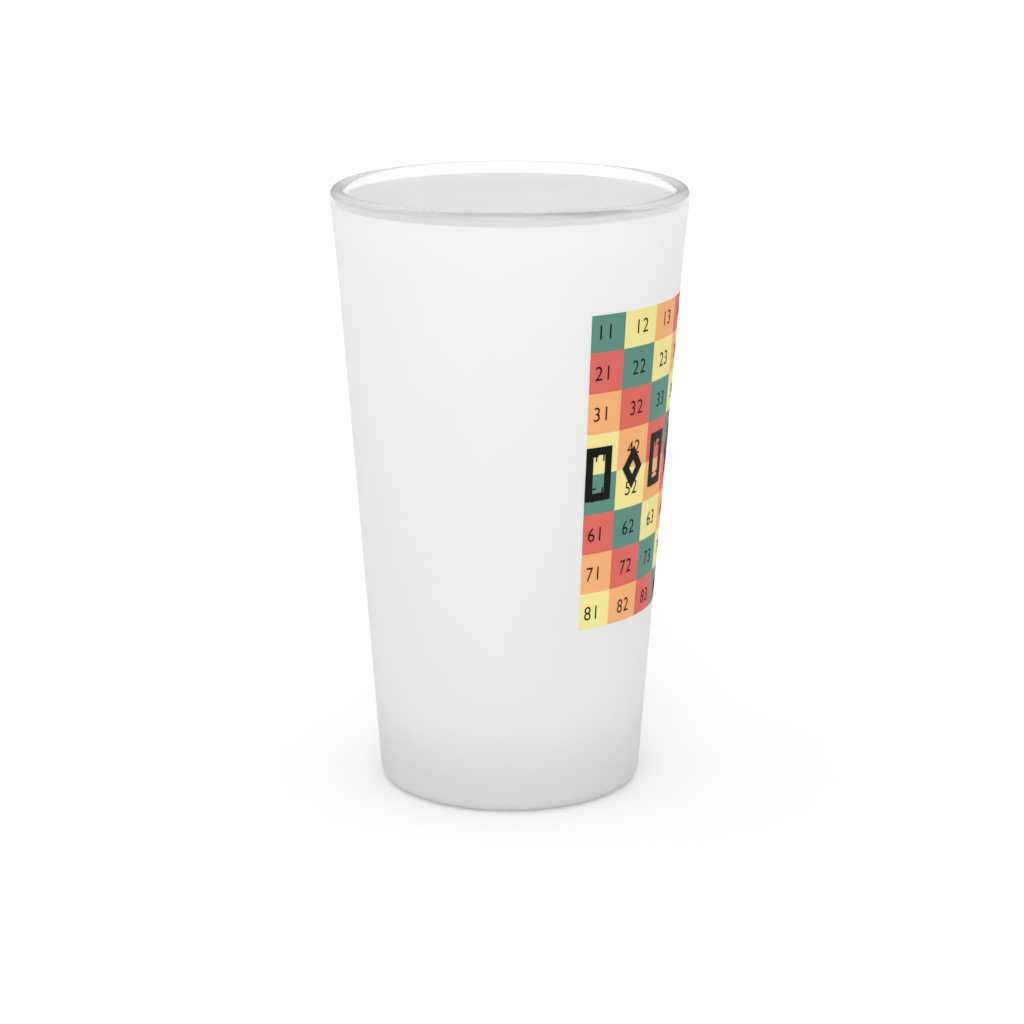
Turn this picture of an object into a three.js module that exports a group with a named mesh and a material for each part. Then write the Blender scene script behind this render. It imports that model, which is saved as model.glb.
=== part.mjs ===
// Pint glass: a tapered tumbler with a thick base, frosted on the outside up to a clear lip,
// with a printed panel of coloured squares on one side.
//
// Millimetres, +Z up. The origin is on the axis, in the plane that the glass stands on.
// The middle of the printed panel faces +X.
//
// The glass, the frosting and the inks are layers on one another, so every layer takes its
// shape from the same wall, moved outwards by the layers that lie under it.

import * as THREE from 'three';

// ---------------------------------------------------------------------------
// Driving dimensions: millimetres, and degrees round the axis
// ---------------------------------------------------------------------------

// Glass
const height = 152.4;         // standing plane to the top of the lip
const rimDiameter = 88.9;     // across the widest part of the lip
const baseDiameter = 66.4;    // across the wall where it leaves the foot rounding
const wallThickness = 3.75;   // measured square to the axis, and the width of the lip
const baseThickness = 16;     // standing plane to the floor inside
const footRound = 3.2;        // outer rounding at the foot
const floorRound = 9;         // inner rounding between the wall and the floor
const flareHeight = 25.3;     // top stretch of wall that curves outwards
const flareSpread = 0.5;      // how far that curve takes the lip past the straight taper
const ringWidth = 6;          // flat ring that the glass stands on
const puntDepth = 2.5;        // hollow under the base, at its middle

// Frosting
const lipBand = 3.25;         // clear glass between the frosting and the top of the lip
const coatThickness = 0.08;
const coatClearance = 0.02;   // between the glass and the frosting
const coatFootAngle = 60;     // how far the frosting wraps under the foot rounding

// Printed panel
const columns = 8;
const rows = 8;
const cellAngle = 16.3;       // one full square, round the wall
const cellHeight = 10.15;     // one full square, up the wall
const trimAngle = 2.7;        // cut off the outer side of the first and last column
const trimHeight = 0.95;      // cut off the outer side of the top and bottom row
const printDrop = 25.5;       // top of the lip to the top edge of the panel
const inkThickness = 0.08;
const inkClearance = 0.12;    // between the frosting and the ink
const inkGap = 0.16;          // bare line between squares of different inks
const neckReach = 0.5;        // how far the ink that joins two corners runs along each square

// Black marks printed over the middle of the panel, one to a column
const markWidth = 7.4;
const markHeight = 13.6;      // of the upright marks
const diamondHeight = 11;     // of the diamonds between them
const markStroke = 2;
const markClearance = 0.12;   // between the coloured ink and the black

// Fineness of the round surfaces
const turnSteps = 72;         // steps round the axis
const roundStep = 22.5;       // degrees between points on a rounding
const wallSteps = 2;          // steps up the straight wall
const flareSteps = 4;         // steps up the curved top of the wall
const puntSteps = 4;          // steps from the middle of the punt to its edge
const cellSteps = 3;          // upright slices to one printed square

// ---------------------------------------------------------------------------
// Materials
// ---------------------------------------------------------------------------

const clearGlass = new THREE.MeshStandardMaterial({ color: 0xe4eae9, roughness: 0.04, metalness: 0 });
const frosting = new THREE.MeshStandardMaterial({ color: 0xe9e9e9, roughness: 0.6, metalness: 0 });

// The inks in the order in which the diagonal stripes repeat.
const inks = [
  { name: 'green', material: new THREE.MeshStandardMaterial({ color: 0x5b8d7f, roughness: 0.5 }) },
  { name: 'yellow', material: new THREE.MeshStandardMaterial({ color: 0xf0e395, roughness: 0.5 }) },
  { name: 'orange', material: new THREE.MeshStandardMaterial({ color: 0xf1af75, roughness: 0.5 }) },
  { name: 'red', material: new THREE.MeshStandardMaterial({ color: 0xd9685e, roughness: 0.5 }) },
];
const blackInk = new THREE.MeshStandardMaterial({ color: 0x1c1a19, roughness: 0.5 });

// ---------------------------------------------------------------------------
// The wall that every layer follows
// ---------------------------------------------------------------------------

const rimRadius = rimDiameter / 2;
const baseRadius = baseDiameter / 2;
const lipRadius = wallThickness / 2;
const lipCentreHeight = height - lipRadius;
const flareStart = height - flareHeight;
const taper = (rimRadius - flareSpread - baseRadius) / (lipCentreHeight - footRound);

// Radius of the outside of the bare glass at a height above the foot rounding.
function wallRadius(z) {
  const straight = baseRadius + taper * (z - footRound);
  const rise = Math.max(0, z - flareStart) / (lipCentreHeight - flareStart);
  return straight + flareSpread * rise * rise;
}

const radians = THREE.MathUtils.degToRad;

// Points along an arc, from one angle to another in degrees, measured from the outward side.
function arc(centreRadius, centreHeight, radius, from, to) {
  const steps = Math.max(1, Math.ceil(Math.abs(to - from) / roundStep));
  const points = [];
  for (let i = 0; i <= steps; i += 1) {
    const angle = radians(from + ((to - from) * i) / steps);
    points.push(new THREE.Vector2(
      centreRadius + radius * Math.cos(angle),
      centreHeight + radius * Math.sin(angle),
    ));
  }
  return points;
}

// Points up the outside of the wall between two heights, moved outwards by an offset.
// The curved top takes closer points than the straight part below it.
function wallLine(from, to, offset) {
  const heights = [];
  const bend = Math.min(Math.max(flareStart, from), to);
  for (let i = 0; i < wallSteps; i += 1) {
    heights.push(from + ((bend - from) * i) / wallSteps);
  }
  for (let i = 0; i <= flareSteps; i += 1) {
    heights.push(bend + ((to - bend) * i) / flareSteps);
  }
  return heights.map((z) => new THREE.Vector2(wallRadius(z) + offset, z));
}

// A profile with points that fall on each other dropped, turned about the Z axis.
function turned(profile) {
  const tooClose = 0.001;
  const clean = profile.filter((point, i) => i === 0 || point.distanceTo(profile[i - 1]) > tooClose);
  const geometry = new THREE.LatheGeometry(clean, turnSteps);
  geometry.rotateX(Math.PI / 2);
  return geometry;
}

function namedMesh(name, geometry, material) {
  const mesh = new THREE.Mesh(geometry, material);
  mesh.name = name;
  return mesh;
}

// ---------------------------------------------------------------------------
// Glass body
// ---------------------------------------------------------------------------

// The shallow dome under the base, from its middle out to the flat ring.
function puntLine() {
  const puntRadius = baseRadius - footRound - ringWidth;
  const domeRadius = (puntRadius * puntRadius + puntDepth * puntDepth) / (2 * puntDepth);
  const points = [];
  for (let i = 0; i < puntSteps; i += 1) {
    const radius = (puntRadius * i) / puntSteps;
    const drop = domeRadius - Math.sqrt(domeRadius * domeRadius - radius * radius);
    points.push(new THREE.Vector2(radius, puntDepth - drop));
  }
  points.push(new THREE.Vector2(puntRadius, 0));
  return points;
}

// The outside from the foot rounding up to the top of the frosting, moved outwards by an
// offset. The glass and the frosting share its points, so neither cuts into the other.
const coatTop = height - lipBand;

function coatedLine(offset) {
  return [
    ...arc(baseRadius - footRound, footRound, footRound + offset, -coatFootAngle, 0),
    ...wallLine(footRound, coatTop, offset),
  ];
}

function glassBody() {
  const roundingTop = baseThickness + floorRound;
  const floorEdge = wallRadius(roundingTop) - wallThickness - floorRound;
  const profile = [
    ...puntLine(),
    ...arc(baseRadius - footRound, footRound, footRound, -90, -coatFootAngle),
    ...coatedLine(0),
    ...arc(rimRadius - lipRadius, lipCentreHeight, lipRadius, 0, 180),
    ...wallLine(roundingTop, lipCentreHeight, -wallThickness).reverse(),
    ...arc(floorEdge, roundingTop, floorRound, 0, -90),
    new THREE.Vector2(0, baseThickness),
  ];
  return namedMesh('glass_body', turned(profile), clearGlass);
}

// ---------------------------------------------------------------------------
// Frosting
// ---------------------------------------------------------------------------

function frostCoating() {
  const inner = coatedLine(coatClearance);
  const outer = coatedLine(coatClearance + coatThickness);
  const profile = [...outer, ...inner.reverse(), outer[0].clone()];
  return namedMesh('frost_coating', turned(profile), frosting);
}

// ---------------------------------------------------------------------------
// Films of ink
//
// A film is drawn flat, as outlines of [angle, height] points that run anticlockwise as seen
// from outside, and then wrapped on the wall. Angles are round the axis from the middle of the
// panel, growing to the right as the panel is read, and heights are above the standing plane.
// ---------------------------------------------------------------------------

const panelTop = height - printDrop;
const fullTop = panelTop + trimHeight;
const panelBottom = fullTop - rows * cellHeight + trimHeight;
const panelMiddle = (panelTop + panelBottom) / 2;
const halfPanel = radians((columns * cellAngle) / 2 - trimAngle);

// A short length on the panel as an angle round the axis.
const panelRadius = wallRadius(panelMiddle);
const toAngle = (length) => length / panelRadius;

// The part of an outline to the right (side 1) or left (side -1) of an upright line.
function keptSide(outline, line, side) {
  const kept = [];
  outline.forEach((point, i) => {
    const next = outline[(i + 1) % outline.length];
    const here = (point[0] - line) * side;
    const there = (next[0] - line) * side;
    if (here >= 0) {
      kept.push(point);
    }
    if (here * there < 0) {
      const share = here / (here - there);
      kept.push([line, point[1] + (next[1] - point[1]) * share]);
    }
  });
  return kept;
}

// An outline cut by the upright lines that every film shares, so that it follows the wall
// round, and so that outlines which meet along an edge are cut at the same places.
function uprightSlices(outline) {
  const slice = radians(cellAngle / cellSteps);
  const angles = outline.map(([angle]) => angle);
  const first = Math.floor(Math.min(...angles) / slice);
  const end = Math.ceil(Math.max(...angles) / slice);
  const slices = [];
  for (let i = first; i < end; i += 1) {
    const piece = keptSide(keptSide(outline, i * slice, 1), (i + 1) * slice, -1);
    if (piece.length > 2) {
      slices.push(piece);
    }
  }
  return slices;
}

// A closed film between two offsets from the bare wall. Its outlines meet along whole edges.
// Each is filled on the outer and inner face, and an edge that only one has gets a side wall.
function wrappedFilm(outlines, innerOffset, outerOffset) {
  const corners = [];
  const numbers = new Map();
  const numberOf = ([angle, z]) => {
    const key = `${Math.round(angle * 1e6)},${Math.round(z * 1e5)}`;
    if (!numbers.has(key)) {
      numbers.set(key, corners.length);
      corners.push([angle, z]);
    }
    return numbers.get(key);
  };

  const faces = [];
  const edges = new Map();
  for (const outline of outlines.flatMap(uprightSlices)) {
    const loop = outline.map(numberOf);
    // The angles are brought to the scale of the heights, so that the outline fills evenly.
    const flat = outline.map(([angle, z]) => new THREE.Vector2(angle * panelRadius, z));
    for (const [a, b, c] of THREE.ShapeUtils.triangulateShape(flat, [])) {
      faces.push([loop[a], loop[b], loop[c]]);
    }
    loop.forEach((start, i) => {
      const end = loop[(i + 1) % loop.length];
      if (!edges.delete(`${end},${start}`)) {
        edges.set(`${start},${end}`, [start, end]);
      }
    });
  }

  // Outer corners come first, and the inner corner under each has its number plus count.
  const count = corners.length;
  const positions = [];
  for (const offset of [outerOffset, innerOffset]) {
    for (const [angle, z] of corners) {
      const radius = wallRadius(z) + offset;
      positions.push(radius * Math.cos(angle), radius * Math.sin(angle), z);
    }
  }
  const index = [];
  for (const [a, b, c] of faces) {
    index.push(a, b, c);
    index.push(c + count, b + count, a + count);
  }
  for (const [start, end] of edges.values()) {
    index.push(start + count, end + count, end);
    index.push(start + count, end, start);
  }

  const geometry = new THREE.BufferGeometry();
  geometry.setAttribute('position', new THREE.Float32BufferAttribute(positions, 3));
  geometry.setIndex(index);
  geometry.computeVertexNormals();
  return geometry;
}

// ---------------------------------------------------------------------------
// Coloured squares
//
// A square's ink goes with its column less its row, so squares of one ink touch at their
// corners and make a diagonal stripe. Each stripe is one film: a neck of ink joins its squares
// at the corners, and the squares that a neck passes between are cut back to clear it.
// ---------------------------------------------------------------------------

const inkInner = coatClearance + coatThickness + inkClearance;
const inkOuter = inkInner + inkThickness;

// The edges of a square, with the outer rows and columns trimmed and half the bare line
// taken off each side.
function cellBox(row, column) {
  const left = radians((column - columns / 2) * cellAngle);
  const right = radians((column + 1 - columns / 2) * cellAngle);
  const halfGap = inkGap / 2;
  return {
    left: Math.max(left, -halfPanel) + toAngle(halfGap),
    right: Math.min(right, halfPanel) - toAngle(halfGap),
    top: Math.min(fullTop - row * cellHeight, panelTop) - halfGap,
    bottom: Math.max(fullTop - (row + 1) * cellHeight, panelBottom) + halfGap,
  };
}

// A square's outline. The two corners on its stripe carry the points that a neck meets, and
// the other two are cut back where another stripe's neck passes them.
function cellOutline(row, column) {
  const { left, right, top, bottom } = cellBox(row, column);
  const cut = neckReach + inkGap;
  const above = row > 0;
  const below = row < rows - 1;
  const before = column > 0;
  const after = column < columns - 1;
  const outline = [];
  if (before && below) {
    outline.push([left, bottom + cut], [left + toAngle(cut), bottom]);
  } else {
    outline.push([left, bottom]);
  }
  if (after && below) {
    outline.push([right - toAngle(neckReach), bottom], [right, bottom], [right, bottom + neckReach]);
  } else {
    outline.push([right, bottom]);
  }
  if (after && above) {
    outline.push([right, top - cut], [right - toAngle(cut), top]);
  } else {
    outline.push([right, top]);
  }
  if (before && above) {
    outline.push([left + toAngle(neckReach), top], [left, top], [left, top - neckReach]);
  } else {
    outline.push([left, top]);
  }
  return outline;
}

// The neck from a square's bottom right corner to the top left corner of the next one down.
function neckOutline(row, column) {
  const box = cellBox(row, column);
  const next = cellBox(row + 1, column + 1);
  return [
    [box.right - toAngle(neckReach), box.bottom],
    [next.left, next.top - neckReach],
    [next.left, next.top],
    [next.left + toAngle(neckReach), next.top],
    [box.right, box.bottom + neckReach],
    [box.right, box.bottom],
  ];
}

// One stripe, from its top left square to its bottom right one.
function inkStripe(shift, name, material) {
  const outlines = [];
  for (let row = 0; row < rows; row += 1) {
    const column = row + shift;
    if (column >= 0 && column < columns) {
      outlines.push(cellOutline(row, column));
      if (row + 1 < rows && column + 1 < columns) {
        outlines.push(neckOutline(row, column));
      }
    }
  }
  return namedMesh(name, wrappedFilm(outlines, inkInner, inkOuter), material);
}

// Every stripe, from the bottom left corner of the panel to the top right, numbered by ink.
function colouredSquares() {
  const squares = new THREE.Group();
  const made = new Map();
  for (let shift = 1 - rows; shift < columns; shift += 1) {
    const ink = inks[THREE.MathUtils.euclideanModulo(shift, inks.length)];
    const number = (made.get(ink) ?? 0) + 1;
    made.set(ink, number);
    squares.add(inkStripe(shift, `ink_${ink.name}_${number}`, ink.material));
  }
  return squares;
}

// ---------------------------------------------------------------------------
// Black marks, printed over the squares: upright frames and diamonds in turn
// ---------------------------------------------------------------------------

const blackInner = inkOuter + markClearance;
const blackOuter = blackInner + inkThickness;

// A frame as four mitred bars between an outer and an inner ring of corners.
function mitredFrame(outer, inner) {
  return outer.map((corner, i) => {
    const next = (i + 1) % outer.length;
    return [corner, outer[next], inner[next], inner[i]];
  });
}

// The corners of an upright rectangle, anticlockwise, about the middle of a column.
function uprightCorners(middle, halfWidth, halfHeight) {
  return [[-1, -1], [1, -1], [1, 1], [-1, 1]].map(([x, y]) => [
    middle + toAngle(x * halfWidth),
    panelMiddle + y * halfHeight,
  ]);
}

// The corners of a diamond, anticlockwise, about the middle of a column.
function diamondCorners(middle, halfWidth, halfHeight) {
  return [[0, -1], [1, 0], [0, 1], [-1, 0]].map(([x, y]) => [
    middle + toAngle(x * halfWidth),
    panelMiddle + y * halfHeight,
  ]);
}

function uprightMark(middle) {
  const halfWidth = markWidth / 2;
  const halfHeight = markHeight / 2;
  return mitredFrame(
    uprightCorners(middle, halfWidth, halfHeight),
    uprightCorners(middle, halfWidth - markStroke, halfHeight - markStroke),
  );
}

// The inner diamond is the outer one made smaller until the bars are one stroke thick.
function diamondMark(middle) {
  const halfWidth = markWidth / 2;
  const halfHeight = diamondHeight / 2;
  const inradius = (halfWidth * halfHeight) / Math.hypot(halfWidth, halfHeight);
  const share = (inradius - markStroke) / inradius;
  return mitredFrame(
    diamondCorners(middle, halfWidth, halfHeight),
    diamondCorners(middle, halfWidth * share, halfHeight * share),
  );
}

function blackMarks() {
  const marks = new THREE.Group();
  for (let column = 0; column < columns; column += 1) {
    const middle = radians((column + 0.5 - columns / 2) * cellAngle);
    const outlines = column % 2 === 0 ? uprightMark(middle) : diamondMark(middle);
    const film = wrappedFilm(outlines, blackInner, blackOuter);
    marks.add(namedMesh(`ink_black_${column + 1}`, film, blackInk));
  }
  return marks;
}

// ---------------------------------------------------------------------------
// The whole glass
// ---------------------------------------------------------------------------

const pintGlass = new THREE.Group();
pintGlass.add(glassBody());
pintGlass.add(frostCoating());
pintGlass.add(colouredSquares());
pintGlass.add(blackMarks());

export default pintGlass;
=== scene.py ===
"""Looks for a pint glass: a clear tapered tumbler, frosted on the outside up to the lip,
with a printed panel of coloured squares on one side.

Metres, +Z up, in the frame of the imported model: the origin is on the axis, in the plane that
the glass stands on, and the middle of the printed panel faces +X.

The glass, the frosting and the inks lie on one another, so each takes its shape from the same
wall, moved outwards by what lies under it. The printed pieces are modelled flat, as the panel
is read from the front, and are then wrapped on the wall.
"""

import math

import bmesh
import bpy
from bpy.props import FloatProperty, FloatVectorProperty, IntProperty, PointerProperty
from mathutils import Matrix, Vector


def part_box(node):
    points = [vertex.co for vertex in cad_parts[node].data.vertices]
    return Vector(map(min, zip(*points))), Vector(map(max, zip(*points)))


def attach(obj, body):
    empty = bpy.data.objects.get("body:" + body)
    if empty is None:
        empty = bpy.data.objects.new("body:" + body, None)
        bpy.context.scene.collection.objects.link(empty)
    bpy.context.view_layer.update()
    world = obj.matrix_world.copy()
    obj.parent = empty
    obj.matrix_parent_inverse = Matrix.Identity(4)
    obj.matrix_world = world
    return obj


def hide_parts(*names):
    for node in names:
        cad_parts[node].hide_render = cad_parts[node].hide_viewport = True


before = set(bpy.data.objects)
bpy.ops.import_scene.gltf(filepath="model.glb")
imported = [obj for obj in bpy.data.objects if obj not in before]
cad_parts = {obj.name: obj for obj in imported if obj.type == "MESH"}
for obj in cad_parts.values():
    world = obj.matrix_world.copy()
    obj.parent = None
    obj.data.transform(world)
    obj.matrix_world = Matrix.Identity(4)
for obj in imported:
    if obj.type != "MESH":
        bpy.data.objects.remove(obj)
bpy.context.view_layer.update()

bl_info = {
    "name": "Frosted pint glass",
    "version": (1, 0, 0),
    "blender": (4, 5, 0),
    "location": "3D View > Sidebar > Pint glass",
    "description": "Models a frosted pint glass with a printed panel, and its studio",
    "category": "Add Mesh",
}

MM = 0.001
GLASS_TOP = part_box("glass_body")[1]
FROST_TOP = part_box("frost_coating")[1]
BODY = "root"

INK_NAMES = ("green", "yellow", "orange", "red")

# The colour sockets of a Mix node, which share their names with its other kinds of socket
MIX_SHARE, MIX_FIRST, MIX_SECOND = 0, 6, 7
MIX_COLOUR_OUT = 2

# The grain that the frosting and the inks both show
GRAIN_STRENGTH = 0.2
GRAIN_DEPTH = 0.02 * MM


# ---------------------------------------------------------------------------
# Sizes and colours
# ---------------------------------------------------------------------------


def length(name, description, default):
    """A length that a user can change, in metres."""
    return FloatProperty(name=name, description=description, default=default, unit="LENGTH", precision=5)


def angle(name, description, degrees):
    """An angle that a user can change, kept in radians."""
    return FloatProperty(name=name, description=description, default=math.radians(degrees), subtype="ANGLE")


def colour(name, description, default):
    """A linear colour that a user can change."""
    return FloatVectorProperty(
        name=name, description=description, default=default, subtype="COLOR", size=3, min=0, max=1
    )


def share(name, description, default):
    """A number from 0 to 1 that a user can change."""
    return FloatProperty(name=name, description=description, default=default, min=0, max=1, subtype="FACTOR")


class GlassSettings(bpy.types.PropertyGroup):
    """Sizes and tint of the bare glass."""

    height: length("Height", "Standing plane to the top of the lip", GLASS_TOP.z)
    rim_diameter: length("Rim diameter", "Across the widest part of the lip", 2 * GLASS_TOP.x)
    base_diameter: length("Base diameter", "Across the wall above the foot rounding", 66.4 * MM)
    wall: length("Wall", "Thickness of the wall, and width of the lip", 3.75 * MM)
    base: length("Base thickness", "Standing plane to the floor inside", 16 * MM)
    foot_round: length("Foot rounding", "Outer rounding at the foot", 3.2 * MM)
    floor_round: length("Floor rounding", "Inner rounding between wall and floor", 9 * MM)
    flare_height: length("Flare height", "Top stretch of wall that curves outwards", 25.3 * MM)
    flare_spread: length("Flare spread", "How far the curve takes the lip past the taper", 0.5 * MM)
    ring_width: length("Ring width", "Flat ring that the glass stands on", 6 * MM)
    punt_depth: length("Punt depth", "Hollow under the base, at its middle", 2.5 * MM)
    turn_steps: IntProperty(name="Turn steps", description="Steps round the axis", default=256, min=32)
    tint: colour("Tint", "Colour that thick glass takes on", (0.53, 0.545, 0.54))
    depth_of_tint: FloatProperty(
        name="Depth of tint", description="Strength of the tint per metre", default=10.0
    )


class FrostSettings(bpy.types.PropertyGroup):
    """Sizes and look of the frosting."""

    top: length("Top", "Height of the frosting's upper edge", FROST_TOP.z)
    key: length("Key", "How far the frosting bites into the glass", 0.02 * MM)
    thickness: length("Thickness", "How far the frosting stands out from the glass", 0.1 * MM)
    foot_angle: angle("Foot angle", "How far it wraps under the foot rounding", 60)
    colour: colour("Colour", "Colour of the frosting over the hollow", (0.98, 0.98, 0.98))
    # Painted shade: the frosting's colour over the solid base, greyer than its own colour
    base_colour: colour("Base colour", "Colour over the solid base", (0.915, 0.915, 0.915))
    glow: share("Glow", "Share of the light that comes through", 0.45)


class PrintSettings(bpy.types.PropertyGroup):
    """Sizes and inks of the printed panel."""

    columns: IntProperty(name="Columns", description="Squares round the wall", default=8, min=1)
    rows: IntProperty(name="Rows", description="Squares up the wall", default=8, min=1)
    cell_angle: angle("Square angle", "One full square, round the wall", 16.3)
    cell_height: length("Square height", "One full square, up the wall", 10.15 * MM)
    trim_angle: angle("Trim angle", "Cut off the outer side of the first and last column", 2.7)
    trim_height: length("Trim height", "Cut off the outer side of the top and bottom row", 0.95 * MM)
    drop: length("Drop", "Top of the lip to the top edge of the panel", 25.5 * MM)
    ink_clearance: length("Ink clearance", "Between the frosting and the ink", 0.02 * MM)
    ink_thickness: length("Ink thickness", "Thickness of one pass of ink", 0.03 * MM)
    numeral_height: length("Numeral height", "Height of a digit", 3.75 * MM)
    numeral_width: share("Numeral width", "Width of a digit against the plain letter's", 0.9)
    mark_width: length("Mark width", "Across a black mark", 7.4 * MM)
    mark_height: length("Mark height", "Height of an upright mark", 13.6 * MM)
    diamond_height: length("Diamond height", "Height of a diamond mark", 11 * MM)
    mark_stroke: length("Mark stroke", "Width of the marks' bars", 2 * MM)
    green: colour("Green", "Green ink", (0.105, 0.266, 0.212))
    yellow: colour("Yellow", "Yellow ink", (0.871, 0.768, 0.301))
    orange: colour("Orange", "Orange ink", (0.879, 0.429, 0.178))
    red: colour("Red", "Red ink", (0.694, 0.138, 0.112))
    black: colour("Black", "Black ink", (0.004, 0.0037, 0.0033))


class StageSettings(bpy.types.PropertyGroup):
    """The camera, the floor and the lights."""

    camera_distance: length("Camera distance", "Level distance from the axis", 728 * MM)
    camera_height: length("Camera height", "Above the floor", 262.3 * MM)
    camera_side: length("Camera side", "To the right of the axis", 0.55 * MM)
    camera_tilt: angle("Camera tilt", "Below the level", 14.87)
    lens: FloatProperty(name="Lens", description="Focal length in millimetres", default=104.3)
    floor_size: length("Floor size", "Side of the floor", 6.0)
    floor_colour: colour("Floor", "Colour of the floor", (0.9, 0.9, 0.9))
    walls: FloatProperty(name="Walls", description="Brightness of the studio's walls", default=0.172)
    ceiling: FloatProperty(name="Ceiling", description="How much brighter the ceiling is", default=1.195)
    softbox: FloatProperty(name="Softbox", description="How much brighter the softbox is", default=2.328)
    softbox_side: angle("Softbox side", "Direction it is in, from +X towards +Y", 264)
    softbox_rise: angle("Softbox rise", "How high it is, above the level", 30)
    softbox_size: angle("Softbox size", "From its middle to half-way down its soft edge", 16)


class PintGlassSettings(bpy.types.PropertyGroup):
    """Everything that a user can change."""

    glass: PointerProperty(type=GlassSettings)
    frost: PointerProperty(type=FrostSettings)
    print: PointerProperty(type=PrintSettings)
    stage: PointerProperty(type=StageSettings)


def settings():
    """The scene's settings."""
    return bpy.context.scene.pint_glass


# ---------------------------------------------------------------------------
# The wall that every layer follows
# ---------------------------------------------------------------------------


def lip_centre_height():
    """Height of the middle of the rounded lip."""
    glass = settings().glass
    return glass.height - glass.wall / 2


def wall_radius(z):
    """Radius of the outside of the bare glass at a height above the foot rounding."""
    glass = settings().glass
    lip = lip_centre_height()
    base_radius = glass.base_diameter / 2
    taper = (glass.rim_diameter / 2 - glass.flare_spread - base_radius) / (lip - glass.foot_round)
    flare_start = glass.height - glass.flare_height
    rise = max(0.0, z - flare_start) / (lip - flare_start)
    return base_radius + taper * (z - glass.foot_round) + glass.flare_spread * rise * rise


def arc(centre, radius, start, end, step=6):
    """Points (radius, height) along an arc, with angles in degrees from the outward side."""
    count = max(1, math.ceil(abs(end - start) / step))
    turns = [math.radians(start + (end - start) * i / count) for i in range(count + 1)]
    return [(centre[0] + radius * math.cos(t), centre[1] + radius * math.sin(t)) for t in turns]


def wall_line(start, end, offset, steps=24):
    """Points (radius, height) up the outside of the wall, moved outwards by an offset."""
    heights = [start + (end - start) * i / steps for i in range(steps + 1)]
    return [(wall_radius(z) + offset, z) for z in heights]


def without_repeats(profile):
    """The profile with each point that falls on the one before it left out."""
    kept = [profile[0]]
    for point in profile[1:]:
        if math.dist(point, kept[-1]) > 1e-6:
            kept.append(point)
    return kept


# ---------------------------------------------------------------------------
# Modelling
# ---------------------------------------------------------------------------


def start_piece():
    """Deselects everything, so that the next primitive is worked on alone."""
    bpy.ops.object.select_all(action="DESELECT")


def select_only(*pieces):
    """Selects these objects alone, with the first one active."""
    bpy.ops.object.select_all(action="DESELECT")
    for piece in pieces:
        piece.select_set(True)
    bpy.context.view_layer.objects.active = pieces[0]


def select_vertices(piece, wanted):
    """In edit mode, selects the vertices whose place passes a test, and no others."""
    mesh = bmesh.from_edit_mesh(piece.data)
    for vertex in mesh.verts:
        vertex.select_set(bool(wanted(vertex.co)))
    mesh.select_flush_mode()
    bmesh.update_edit_mesh(piece.data)


def grow_rings(profile):
    """Extrudes the selected ring from point to point of a profile, scaling it to each radius."""
    for (radius, z), (next_radius, next_z) in zip(profile, profile[1:]):
        bpy.ops.mesh.extrude_region_move(TRANSFORM_OT_translate={"value": (0, 0, next_z - z)})
        change = next_radius / radius
        bpy.ops.transform.resize(value=(change, change, 1), center_override=(0, 0, 0))


def close_pole(z, pole_z):
    """Extrudes the selected ring to a height and draws it together on the axis."""
    bpy.ops.mesh.extrude_region_move(TRANSFORM_OT_translate={"value": (0, 0, pole_z - z)})
    bpy.ops.mesh.merge(type="CENTER")


def turned_piece(name, profile, first_pole=None, last_pole=None):
    """A round piece that follows a profile, closed on the axis where a pole height is given."""
    start_piece()
    radius, z = profile[0]
    steps = settings().glass.turn_steps
    bpy.ops.mesh.primitive_circle_add(vertices=steps, radius=radius, location=(0, 0, z))
    bpy.ops.object.transform_apply(location=True)
    piece = named(bpy.context.object, name)
    bpy.ops.object.mode_set(mode="EDIT")
    if first_pole is not None:
        close_pole(z, first_pole)
        select_vertices(piece, lambda place: place.xy.length > radius / 2)
    grow_rings(profile)
    if last_pole is not None:
        close_pole(profile[-1][1], last_pole)
    bpy.ops.mesh.select_all(action="SELECT")
    bpy.ops.mesh.normals_make_consistent(inside=False)
    bpy.ops.object.mode_set(mode="OBJECT")
    return piece


def smooth(piece, degrees=30):
    """Smooths every edge that turns less than an angle."""
    select_only(piece)
    bpy.ops.object.shade_smooth_by_angle(angle=math.radians(degrees))


def apply_modifiers(piece):
    """Applies a piece's modifiers in order."""
    select_only(piece)
    for modifier in list(piece.modifiers):
        bpy.ops.object.modifier_apply(modifier=modifier.name)


def thicken(piece, thickness, offset):
    """Gives a sheet its thickness: offset -1 to the back of its faces, 1 to the front."""
    solidify = piece.modifiers.new("thickness", "SOLIDIFY")
    solidify.thickness = thickness
    solidify.offset = offset
    apply_modifiers(piece)


def named(piece, name):
    """Names an object and its mesh."""
    piece.name = name
    piece.data.name = name
    return piece


def joined(name, parts):
    """Several objects as one, under one name."""
    select_only(*parts)
    if len(parts) > 1:
        bpy.ops.object.join()
    return named(bpy.context.object, name)


def copy_at(original, place, size=(1, 1, 1)):
    """A copy with its own mesh, sized and put in its place."""
    select_only(original)
    bpy.ops.object.duplicate()
    copy = bpy.context.object
    copy.scale = size
    copy.location = place
    bpy.ops.object.transform_apply(location=True, rotation=True, scale=True)
    return copy


def hand_over(piece, material, slot, *nodes):
    """Gives a finished piece its material, and its place in the frame."""
    piece.data.materials.clear()
    piece.data.materials.append(material)
    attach(piece, BODY)
    if nodes:
        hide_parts(*nodes)


# ---------------------------------------------------------------------------
# The printed panel, flat and wrapped
#
# Flat, a printed piece stands in the XZ plane and faces -Y: X is the distance round the wall
# from the middle of the panel, growing to the right as it is read, and Z is the height.
# ---------------------------------------------------------------------------


def panel_top():
    """Height of the top edge of the panel."""
    return settings().glass.height - settings().print.drop


def full_top():
    """Height that the panel's top edge would have if its top row weren't trimmed."""
    return panel_top() + settings().print.trim_height


def panel_bottom():
    """Height of the bottom edge of the panel."""
    printed = settings().print
    return full_top() - printed.rows * printed.cell_height + printed.trim_height


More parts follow.
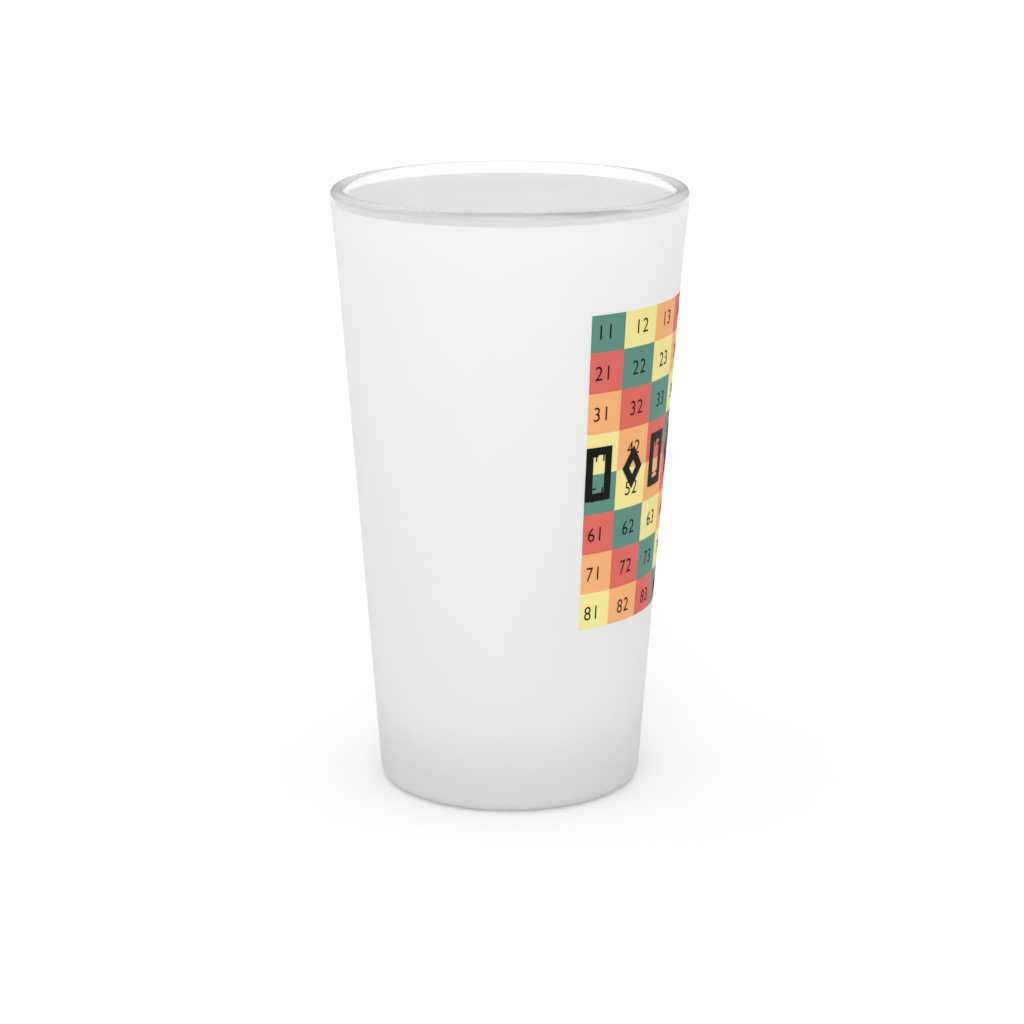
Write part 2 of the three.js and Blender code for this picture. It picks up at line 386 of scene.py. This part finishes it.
def panel_middle():
    """Height of the middle of the panel."""
    return (panel_top() + panel_bottom()) / 2


def flat(turn):
    """An angle round the axis as a distance on the flat panel."""
    return turn * wall_radius(panel_middle())


def column_middle(column):
    """Distance from the middle of the panel to the middle of a full column, laid flat."""
    printed = settings().print
    return flat((column + 0.5 - printed.columns / 2) * printed.cell_angle)


def row_middle(row):
    """Height of the middle of a full row."""
    return full_top() - (row + 0.5) * settings().print.cell_height


def cell_edges(row, column):
    """Left, right, bottom and top of a square, with the outer rows and columns trimmed."""
    printed = settings().print
    half_panel = flat(printed.columns / 2 * printed.cell_angle - printed.trim_angle)
    half_width = flat(printed.cell_angle) / 2
    half_height = printed.cell_height / 2
    left = max(column_middle(column) - half_width, -half_panel)
    right = min(column_middle(column) + half_width, half_panel)
    bottom = max(row_middle(row) - half_height, panel_bottom())
    top = min(row_middle(row) + half_height, panel_top())
    return left, right, bottom, top


def wrap_on_wall(piece, offset):
    """Lays a flat piece on the wall, its back at an offset from the bare glass."""
    radius_flat = wall_radius(panel_middle())
    for vertex in piece.data.vertices:
        x, y, z = vertex.co
        turn = x / radius_flat
        radius = wall_radius(z) + offset - y
        vertex.co = (radius * math.cos(turn), radius * math.sin(turn), z)
    piece.data.update()


def ink_offset(passes):
    """Distance from the bare glass to the back of a film with so many passes of ink under it."""
    printed = settings().print
    on_frost = settings().frost.thickness + printed.ink_clearance
    return on_frost + passes * (printed.ink_thickness + printed.ink_clearance)


# ---------------------------------------------------------------------------
# Effects that several materials use
# ---------------------------------------------------------------------------


def new_group(name, inputs, outputs):
    """An empty node group with named inputs (name, kind, default) and outputs (name, kind)."""
    group = bpy.data.node_groups.new(name, "ShaderNodeTree")
    for label, kind, default in inputs:
        socket = group.interface.new_socket(name=label, in_out="INPUT", socket_type=kind)
        if default is not None:
            socket.default_value = default
    for label, kind in outputs:
        group.interface.new_socket(name=label, in_out="OUTPUT", socket_type=kind)
    return group, group.nodes.new("NodeGroupInput"), group.nodes.new("NodeGroupOutput")


def noise(tree, place, scale, detail=2.0, roughness=0.5):
    """A noise texture read at a place. Scale may be a number or a socket."""
    node = tree.nodes.new("ShaderNodeTexNoise")
    node.inputs["Detail"].default_value = detail
    node.inputs["Roughness"].default_value = roughness
    tree.links.new(place, node.inputs["Vector"])
    if isinstance(scale, (int, float)):
        node.inputs["Scale"].default_value = scale
    else:
        tree.links.new(scale, node.inputs["Scale"])
    return node.outputs["Fac"]


def maths(tree, operation, first, second):
    """The sum, product or other result of two numbers or sockets."""
    node = tree.nodes.new("ShaderNodeMath")
    node.operation = operation
    for socket, value in zip(node.inputs, (first, second)):
        if isinstance(value, (int, float)):
            socket.default_value = value
        else:
            tree.links.new(value, socket)
    return node.outputs["Value"]


def faded(tree, value, start, end, brightness):
    """A brightness that rises smoothly from 0 as a value goes from start to end."""
    edge = tree.nodes.new("ShaderNodeMapRange")
    edge.interpolation_type = "SMOOTHSTEP"
    edge.inputs["From Min"].default_value = start
    edge.inputs["From Max"].default_value = end
    edge.inputs["To Max"].default_value = brightness
    tree.links.new(value, edge.inputs["Value"])
    return edge.outputs["Result"]


def satin_grain():
    """Height of a fine even grain, in two sizes, as on an etched or sprayed surface."""
    coarse_share = 0.17  # scale of the coarse grain against the fine one's
    group, given, result = new_group(
        "satin_grain",
        [("Place", "NodeSocketVector", None), ("Scale", "NodeSocketFloat", 4000.0)],
        [("Height", "NodeSocketFloat")],
    )
    fine = noise(group, given.outputs["Place"], given.outputs["Scale"], 3.0, 0.6)
    coarse_scale = maths(group, "MULTIPLY", given.outputs["Scale"], coarse_share)
    coarse = noise(group, given.outputs["Place"], coarse_scale)
    group.links.new(maths(group, "ADD", fine, coarse), result.inputs["Height"])
    return group


def soft_variation():
    """A number that drifts slowly between two limits over a surface, as handling marks do."""
    group, given, result = new_group(
        "soft_variation",
        [
            ("Place", "NodeSocketVector", None),
            ("Scale", "NodeSocketFloat", 60.0),
            ("Low", "NodeSocketFloat", 0.0),
            ("High", "NodeSocketFloat", 1.0),
        ],
        [("Value", "NodeSocketFloat")],
    )
    drift = noise(group, given.outputs["Place"], given.outputs["Scale"], 4.0, 0.55)
    spread = group.nodes.new("ShaderNodeMapRange")
    spread.inputs["From Min"].default_value = 0.3
    spread.inputs["From Max"].default_value = 0.7
    group.links.new(drift, spread.inputs["Value"])
    group.links.new(given.outputs["Low"], spread.inputs["To Min"])
    group.links.new(given.outputs["High"], spread.inputs["To Max"])
    group.links.new(spread.outputs["Result"], result.inputs["Value"])
    return group


def shaded_colour():
    """A colour lightened and darkened a little by a slow drift and a fine speckle."""
    drift_scale, speckle_scale = 90.0, 3500.0
    group, given, result = new_group(
        "shaded_colour",
        [
            ("Place", "NodeSocketVector", None),
            ("Colour", "NodeSocketColor", (0.8, 0.8, 0.8, 1.0)),
            ("Drift", "NodeSocketFloat", 0.02),
            ("Speckle", "NodeSocketFloat", 0.02),
        ],
        [("Colour", "NodeSocketColor")],
    )
    slow = maths(group, "SUBTRACT", noise(group, given.outputs["Place"], drift_scale, 3.0), 0.5)
    quick = maths(group, "SUBTRACT", noise(group, given.outputs["Place"], speckle_scale), 0.5)
    slow = maths(group, "MULTIPLY", slow, given.outputs["Drift"])
    quick = maths(group, "MULTIPLY", quick, given.outputs["Speckle"])
    change = maths(group, "ADD", maths(group, "ADD", slow, quick), 1.0)
    scaled = group.nodes.new("ShaderNodeVectorMath")
    scaled.operation = "SCALE"
    group.links.new(given.outputs["Colour"], scaled.inputs[0])
    group.links.new(change, scaled.inputs["Scale"])
    group.links.new(scaled.outputs["Vector"], result.inputs["Colour"])
    return group


def effect(tree, make, **values):
    """Places a shared effect in a material, building it the first time, with its own values."""
    group = bpy.data.node_groups.get(make.__name__) or make()
    node = tree.nodes.new("ShaderNodeGroup")
    node.node_tree = group
    place = tree.nodes.new("ShaderNodeTexCoord")
    tree.links.new(place.outputs["Object"], node.inputs["Place"])
    for label, value in values.items():
        node.inputs[label].default_value = value
    return node


def relief(tree, height, strength, distance):
    """A bump from a height, which goes to a shader's Normal."""
    node = tree.nodes.new("ShaderNodeBump")
    node.inputs["Strength"].default_value = strength
    node.inputs["Distance"].default_value = distance
    tree.links.new(height, node.inputs["Height"])
    return node.outputs["Normal"]


def new_material(name):
    """An empty material: its node tree, its Principled shader and its output.

    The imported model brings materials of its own, so a name that is taken is an error here.
    """
    if name in bpy.data.materials:
        raise RuntimeError(f"there is already a material named {name}")
    material = bpy.data.materials.new(name)
    material.use_nodes = True
    nodes = material.node_tree.nodes
    return material, nodes["Principled BSDF"], nodes["Material Output"]


# ---------------------------------------------------------------------------
# Materials
# ---------------------------------------------------------------------------


def opaque(values):
    """A linear colour with its alpha."""
    return (*values, 1.0)


def clear_glass():
    """Fire-polished soda-lime glass: faint waves from pressing, and a little handling haze."""
    material, shader, output = new_material("polished_glass")
    tree = material.node_tree
    shader.inputs["Base Color"].default_value = (1.0, 1.0, 1.0, 1.0)
    shader.inputs["Transmission Weight"].default_value = 1.0
    shader.inputs["IOR"].default_value = 1.5
    haze = effect(tree, soft_variation, Scale=55.0, Low=0.0, High=0.03)
    tree.links.new(haze.outputs["Value"], shader.inputs["Roughness"])
    waves = effect(tree, soft_variation, Scale=28.0, Low=0.0, High=1.0)
    normal = relief(tree, waves.outputs["Value"], 0.04, 0.05 * MM)
    tree.links.new(normal, shader.inputs["Normal"])
    depth = tree.nodes.new("ShaderNodeVolumeAbsorption")
    depth.inputs["Color"].default_value = opaque(settings().glass.tint)
    depth.inputs["Density"].default_value = settings().glass.depth_of_tint
    tree.links.new(depth.outputs["Volume"], output.inputs["Volume"])
    return material


def height_colour(tree, frost):
    """The frosting's colour, with painted shade that makes it a little greyer over the solid base than over
    the hollow.
    """
    glass = settings().glass
    place = tree.nodes.new("ShaderNodeTexCoord")
    height = tree.nodes.new("ShaderNodeSeparateXYZ")
    tree.links.new(place.outputs["Object"], height.inputs["Vector"])
    start = glass.base + glass.floor_round
    # The painted shade fades out from the foot rounding up to the top of the floor rounding
    hollow = faded(tree, height.outputs["Z"], glass.foot_round, start, 1.0)
    mix = tree.nodes.new("ShaderNodeMix")
    mix.data_type = "RGBA"
    mix.inputs[MIX_FIRST].default_value = opaque(frost.base_colour)
    mix.inputs[MIX_SECOND].default_value = opaque(frost.colour)
    tree.links.new(hollow, mix.inputs[MIX_SHARE])
    return mix.outputs[MIX_COLOUR_OUT]


def frosting():
    """A white satin layer that glows with the light behind it."""
    frost = settings().frost
    material, shader, output = new_material("satin_frosting")
    tree = material.node_tree
    shade = effect(tree, shaded_colour, Drift=0.008, Speckle=0.012)
    # Its colour carries painted shade over the solid base
    tree.links.new(height_colour(tree, frost), shade.inputs["Colour"])
    tree.links.new(shade.outputs["Colour"], shader.inputs["Base Color"])
    sheen = effect(tree, soft_variation, Scale=70.0, Low=0.38, High=0.46)
    tree.links.new(sheen.outputs["Value"], shader.inputs["Roughness"])
    grain = effect(tree, satin_grain, Scale=4200.0)
    normal = relief(tree, grain.outputs["Height"], GRAIN_STRENGTH, GRAIN_DEPTH)
    tree.links.new(normal, shader.inputs["Normal"])
    through = tree.nodes.new("ShaderNodeBsdfTranslucent")
    tree.links.new(shade.outputs["Colour"], through.inputs["Color"])
    mix = tree.nodes.new("ShaderNodeMixShader")
    mix.inputs["Fac"].default_value = frost.glow
    tree.links.new(shader.outputs["BSDF"], mix.inputs[1])
    tree.links.new(through.outputs["BSDF"], mix.inputs[2])
    tree.links.new(mix.outputs["Shader"], output.inputs["Surface"])
    return material


def ink(name):
    """A satin printed ink that shows the grain of the frosting under it, made once."""
    label = f"printed_{name}"
    if label in bpy.data.materials:
        return bpy.data.materials[label]
    material, shader, _ = new_material(label)
    tree = material.node_tree
    pigment = opaque(getattr(settings().print, name))
    shade = effect(tree, shaded_colour, Colour=pigment, Drift=0.05, Speckle=0.05)
    tree.links.new(shade.outputs["Colour"], shader.inputs["Base Color"])
    sheen = effect(tree, soft_variation, Scale=110.0, Low=0.5, High=0.6)
    tree.links.new(sheen.outputs["Value"], shader.inputs["Roughness"])
    grain = effect(tree, satin_grain, Scale=3600.0)
    normal = relief(tree, grain.outputs["Height"], GRAIN_STRENGTH, GRAIN_DEPTH)
    tree.links.new(normal, shader.inputs["Normal"])
    shader.inputs["Specular IOR Level"].default_value = 0.12
    return material


def floor_paper():
    """A seamless white paper sweep."""
    material, shader, _ = new_material("floor_paper")
    tree = material.node_tree
    colour_in = opaque(settings().stage.floor_colour)
    shade = effect(tree, shaded_colour, Colour=colour_in, Drift=0.004, Speckle=0.004)
    tree.links.new(shade.outputs["Colour"], shader.inputs["Base Color"])
    shader.inputs["Roughness"].default_value = 0.9
    shader.inputs["Specular IOR Level"].default_value = 0.0
    return material


# ---------------------------------------------------------------------------
# Operators: one for each piece or group of like pieces, and one for the stage
# ---------------------------------------------------------------------------


def punt_line(steps=12):
    """The shallow dome under the base, from near its middle out to the flat ring."""
    glass = settings().glass
    edge = glass.base_diameter / 2 - glass.foot_round - glass.ring_width
    dome = (edge**2 + glass.punt_depth**2) / (2 * glass.punt_depth)
    radii = [edge * i / steps for i in range(1, steps + 1)]
    return [(r, glass.punt_depth - dome + math.sqrt(dome**2 - r**2)) for r in radii]


def frosted_line(offset):
    """The outside from under the foot up to the top of the frosting, moved outwards."""
    glass = settings().glass
    frost = settings().frost
    foot = (glass.base_diameter / 2 - glass.foot_round, glass.foot_round)
    return [
        *arc(foot, glass.foot_round + offset, -math.degrees(frost.foot_angle), 0),
        *wall_line(glass.foot_round, frost.top, offset, 48),
    ]


class PINTGLASS_OT_glass_body(bpy.types.Operator):
    """Turn the clear glass: base, punt, wall and rounded lip"""

    bl_idname = "pintglass.glass_body"
    bl_label = "Glass body"

    def execute(self, context):
        glass = settings().glass
        lip = (glass.rim_diameter / 2 - glass.wall / 2, lip_centre_height())
        foot = (glass.base_diameter / 2 - glass.foot_round, glass.foot_round)
        rounding_top = glass.base + glass.floor_round
        floor_edge = wall_radius(rounding_top) - glass.wall - glass.floor_round
        profile = [
            *punt_line(),
            *arc(foot, glass.foot_round, -90, -math.degrees(settings().frost.foot_angle)),
            *frosted_line(0),
            *arc(lip, glass.wall / 2, 0, 180),
            *reversed(wall_line(rounding_top, lip_centre_height(), -glass.wall)),
            *arc((floor_edge, rounding_top), glass.floor_round, 0, -90),
            (floor_edge / 2, glass.base),
        ]
        piece = turned_piece("tumbler", without_repeats(profile), glass.punt_depth, glass.base)
        smooth(piece, 40)
        hand_over(piece, clear_glass(), "clear_glass", "glass_body")
        return {"FINISHED"}


class PINTGLASS_OT_frosting(bpy.types.Operator):
    """Spray the frosting on the outside, from under the foot up to the clear lip"""

    bl_idname = "pintglass.frosting"
    bl_label = "Frosting"

    def execute(self, context):
        frost = settings().frost
        profile = frosted_line(frost.thickness)
        piece = turned_piece("frosted_layer", without_repeats(profile))
        thicken(piece, frost.thickness + frost.key, -1)
        smooth(piece, 40)
        hand_over(piece, frosting(), "frosting", "frost_coating")
        return {"FINISHED"}


def plain_square():
    """A flat square, one unit across, with enough faces to follow the wall round."""
    start_piece()
    bpy.ops.mesh.primitive_plane_add(size=1, rotation=(math.pi / 2, 0, 0))
    bpy.ops.object.transform_apply(rotation=True)
    bpy.ops.object.mode_set(mode="EDIT")
    bpy.ops.mesh.subdivide(number_cuts=7)
    bpy.ops.object.mode_set(mode="OBJECT")
    return bpy.context.object


def printed_square(square, row, column):
    """A copy of the plain square, sized and placed as one square of the panel."""
    left, right, bottom, top = cell_edges(row, column)
    middle = ((left + right) / 2, 0, (bottom + top) / 2)
    return copy_at(square, middle, (right - left, 1, top - bottom))


class PINTGLASS_OT_coloured_squares(bpy.types.Operator):
    """Print the coloured squares, one diagonal stripe of one ink at a time"""

    bl_idname = "pintglass.coloured_squares"
    bl_label = "Coloured squares"

    def execute(self, context):
        printed = settings().print
        materials = {name: ink(name) for name in INK_NAMES}
        made = dict.fromkeys(INK_NAMES, 0)
        square = plain_square()
        for shift in range(1 - printed.rows, printed.columns):
            name = INK_NAMES[shift % len(INK_NAMES)]
            made[name] += 1
            cells = [(row, row + shift) for row in range(printed.rows)]
            cells = [(row, column) for row, column in cells if 0 <= column < printed.columns]
            squares = [printed_square(square, row, column) for row, column in cells]
            stripe = joined(f"{name}_squares_{made[name]}", squares)
            thicken(stripe, printed.ink_thickness, 1)
            wrap_on_wall(stripe, ink_offset(0))
            smooth(stripe)
            hand_over(stripe, materials[name], f"ink_{name}", f"ink_{name}_{made[name]}")
        bpy.data.objects.remove(square)
        return {"FINISHED"}


def flat_numeral(row, column):
    """A flat two-digit number, row then column, in the middle of a full square."""
    printed = settings().print
    digit_share = 0.73  # height of a digit where the font's size is one
    digit_spacing = 1.12  # space a digit takes up, against the font's own
    digit_slimming = 0.004  # taken off each side of a stroke where the font's size is one
    start_piece()
    bpy.ops.object.text_add(rotation=(math.pi / 2, 0, 0))
    text = bpy.context.object
    text.data.body = f"{row + 1}{column + 1}"
    text.data.size = printed.numeral_height / digit_share
    text.data.align_x = "CENTER"
    text.data.space_character = digit_spacing
    text.data.offset = -digit_slimming * text.data.size
    text.data.extrude = printed.ink_thickness / 2
    text.scale.x = printed.numeral_width
    middle = row_middle(row) - printed.numeral_height / 2
    text.location = (column_middle(column), -printed.ink_thickness / 2, middle)
    bpy.ops.object.convert(target="MESH")
    bpy.ops.object.transform_apply(location=True, rotation=True, scale=True)
    return bpy.context.object


class PINTGLASS_OT_numerals(bpy.types.Operator):
    """Print the small numbers on the squares, a row at a time"""

    bl_idname = "pintglass.numerals"
    bl_label = "Numerals"

    def execute(self, context):
        printed = settings().print
        material = ink("black")
        for row in range(printed.rows):
            numbers = [flat_numeral(row, column) for column in range(printed.columns)]
            piece = joined(f"numerals_row_{row + 1}", numbers)
            wrap_on_wall(piece, ink_offset(1))
            hand_over(piece, material, "ink_black")
        return {"FINISHED"}


def flat_frame(width, height, turned):
    """A flat frame of even stroke: an upright oblong, or a diamond if its corners are turned."""
    start_piece()
    bpy.ops.mesh.primitive_circle_add(vertices=4, radius=1, fill_type="NGON")
    bpy.ops.object.mode_set(mode="EDIT")
    if not turned:
        bpy.ops.transform.rotate(value=math.pi / 4, orient_axis="Z", center_override=(0, 0, 0))
        bpy.ops.transform.resize(value=(math.sqrt(2), math.sqrt(2), 1), center_override=(0, 0, 0))
    bpy.ops.transform.resize(value=(width / 2, height / 2, 1), center_override=(0, 0, 0))
    bpy.ops.mesh.inset(thickness=settings().print.mark_stroke)
    bpy.ops.mesh.delete(type="FACE")
    bpy.ops.mesh.select_all(action="SELECT")
    bpy.ops.mesh.subdivide(number_cuts=5)
    bpy.ops.object.mode_set(mode="OBJECT")
    mark = bpy.context.object
    mark.rotation_euler.x = math.pi / 2
    bpy.ops.object.transform_apply(rotation=True)
    return mark


class PINTGLASS_OT_black_marks(bpy.types.Operator):
    """Print the black marks over the middle rows: upright frames and diamonds in turn"""

    bl_idname = "pintglass.black_marks"
    bl_label = "Black marks"

    def execute(self, context):
        printed = settings().print
        material = ink("black")
        upright = flat_frame(printed.mark_width, printed.mark_height, turned=False)
        diamond = flat_frame(printed.mark_width, printed.diamond_height, turned=True)
        for column in range(printed.columns):
            pattern = diamond if column % 2 else upright
            mark = copy_at(pattern, (column_middle(column), 0, panel_middle()))
            named(mark, f"black_mark_{column + 1}")
            thicken(mark, printed.ink_thickness, 1)
            wrap_on_wall(mark, ink_offset(2))
            smooth(mark)
            hand_over(mark, material, "ink_black", f"ink_black_{column + 1}")
        bpy.data.objects.remove(upright)
        bpy.data.objects.remove(diamond)
        return {"FINISHED"}


def softbox(tree, direction):
    """How bright the one softbox is, along a direction: round, far away and soft at its edge."""
    stage = settings().stage
    level = math.cos(stage.softbox_rise)
    across = (math.cos(stage.softbox_side) * level, math.sin(stage.softbox_side) * level)
    toward = tree.nodes.new("ShaderNodeVectorMath")
    toward.operation = "DOT_PRODUCT"
    toward.inputs[1].default_value = (*across, math.sin(stage.softbox_rise))
    tree.links.new(direction, toward.inputs[0])
    soft_edge = 0.25  # share of its size by which the edge fades out and in
    outer = math.cos((1 + soft_edge) * stage.softbox_size)
    inner = math.cos((1 - soft_edge) * stage.softbox_size)
    return faded(tree, toward.outputs["Value"], outer, inner, stage.softbox)


def make_room():
    """Plain soft light from all round: walls, a brighter ceiling and one softbox."""
    world = bpy.data.worlds.new("room")
    bpy.context.scene.world = world
    world.use_nodes = True
    tree = world.node_tree
    stage = settings().stage
    direction = tree.nodes.new("ShaderNodeTexCoord").outputs["Generated"]
    height = tree.nodes.new("ShaderNodeSeparateXYZ")
    tree.links.new(direction, height.inputs["Vector"])
    ceiling = faded(tree, height.outputs["Z"], -0.2, 1.0, stage.ceiling)
    light = maths(tree, "ADD", ceiling, stage.walls)
    light = maths(tree, "ADD", light, softbox(tree, direction))
    seen = tree.nodes.new("ShaderNodeLightPath").outputs["Is Camera Ray"]
    light = maths(tree, "MAXIMUM", light, seen)
    tree.links.new(light, tree.nodes["Background"].inputs["Strength"])
    tree.nodes["Background"].inputs["Color"].default_value = (1, 1, 1, 1)


class PINTGLASS_OT_stage(bpy.types.Operator):
    """Set the camera, the floor and the lights"""

    bl_idname = "pintglass.stage"
    bl_label = "Stage"

    def execute(self, context):
        stage = settings().stage
        start_piece()
        place = (stage.camera_side, -stage.camera_distance, stage.camera_height)
        turn = (math.pi / 2 - stage.camera_tilt, 0, 0)
        bpy.ops.object.camera_add(location=place, rotation=turn)
        camera = context.object
        camera.name = "camera"
        camera.data.lens = stage.lens
        camera.data.sensor_width = 36
        camera.data.clip_start = 0.01
        context.scene.camera = camera
        start_piece()
        bpy.ops.mesh.primitive_plane_add(size=stage.floor_size)
        floor = context.object
        floor.name = "floor"
        floor.data.materials.append(floor_paper())
        make_room()
        context.scene.view_settings.view_transform = "Standard"
        context.scene.cycles.max_bounces = 48
        context.scene.cycles.diffuse_bounces = 32
        context.scene.cycles.transmission_bounces = 32
        context.scene.cycles.glossy_bounces = 16
        context.scene.cycles.blur_glossy = 0
        return {"FINISHED"}


class PINTGLASS_PT_sidebar(bpy.types.Panel):
    """Lists the operators in the order in which they are used"""

    bl_label = "Pint glass"
    bl_idname = "PINTGLASS_PT_sidebar"
    bl_space_type = "VIEW_3D"
    bl_region_type = "UI"
    bl_category = "Pint glass"

    def draw(self, context):
        for operator in OPERATORS:
            self.layout.operator(operator.bl_idname)


OPERATORS = (
    PINTGLASS_OT_glass_body,
    PINTGLASS_OT_frosting,
    PINTGLASS_OT_coloured_squares,
    PINTGLASS_OT_numerals,
    PINTGLASS_OT_black_marks,
    PINTGLASS_OT_stage,
)

CLASSES = (
    GlassSettings,
    FrostSettings,
    PrintSettings,
    StageSettings,
    PintGlassSettings,
    *OPERATORS,
    PINTGLASS_PT_sidebar,
)


def register():
    """Adds the classes and the scene's settings."""
    for cls in CLASSES:
        bpy.utils.register_class(cls)
    bpy.types.Scene.pint_glass = PointerProperty(type=PintGlassSettings)


def unregister():
    """Takes the settings and the classes away again."""
    del bpy.types.Scene.pint_glass
    for cls in reversed(CLASSES):
        bpy.utils.unregister_class(cls)


def main():
    """Builds the glass and its studio."""
    register()
    bpy.ops.pintglass.glass_body()
    bpy.ops.pintglass.frosting()
    bpy.ops.pintglass.coloured_squares()
    bpy.ops.pintglass.numerals()
    bpy.ops.pintglass.black_marks()
    bpy.ops.pintglass.stage()


if __name__ == "__main__":
    main()
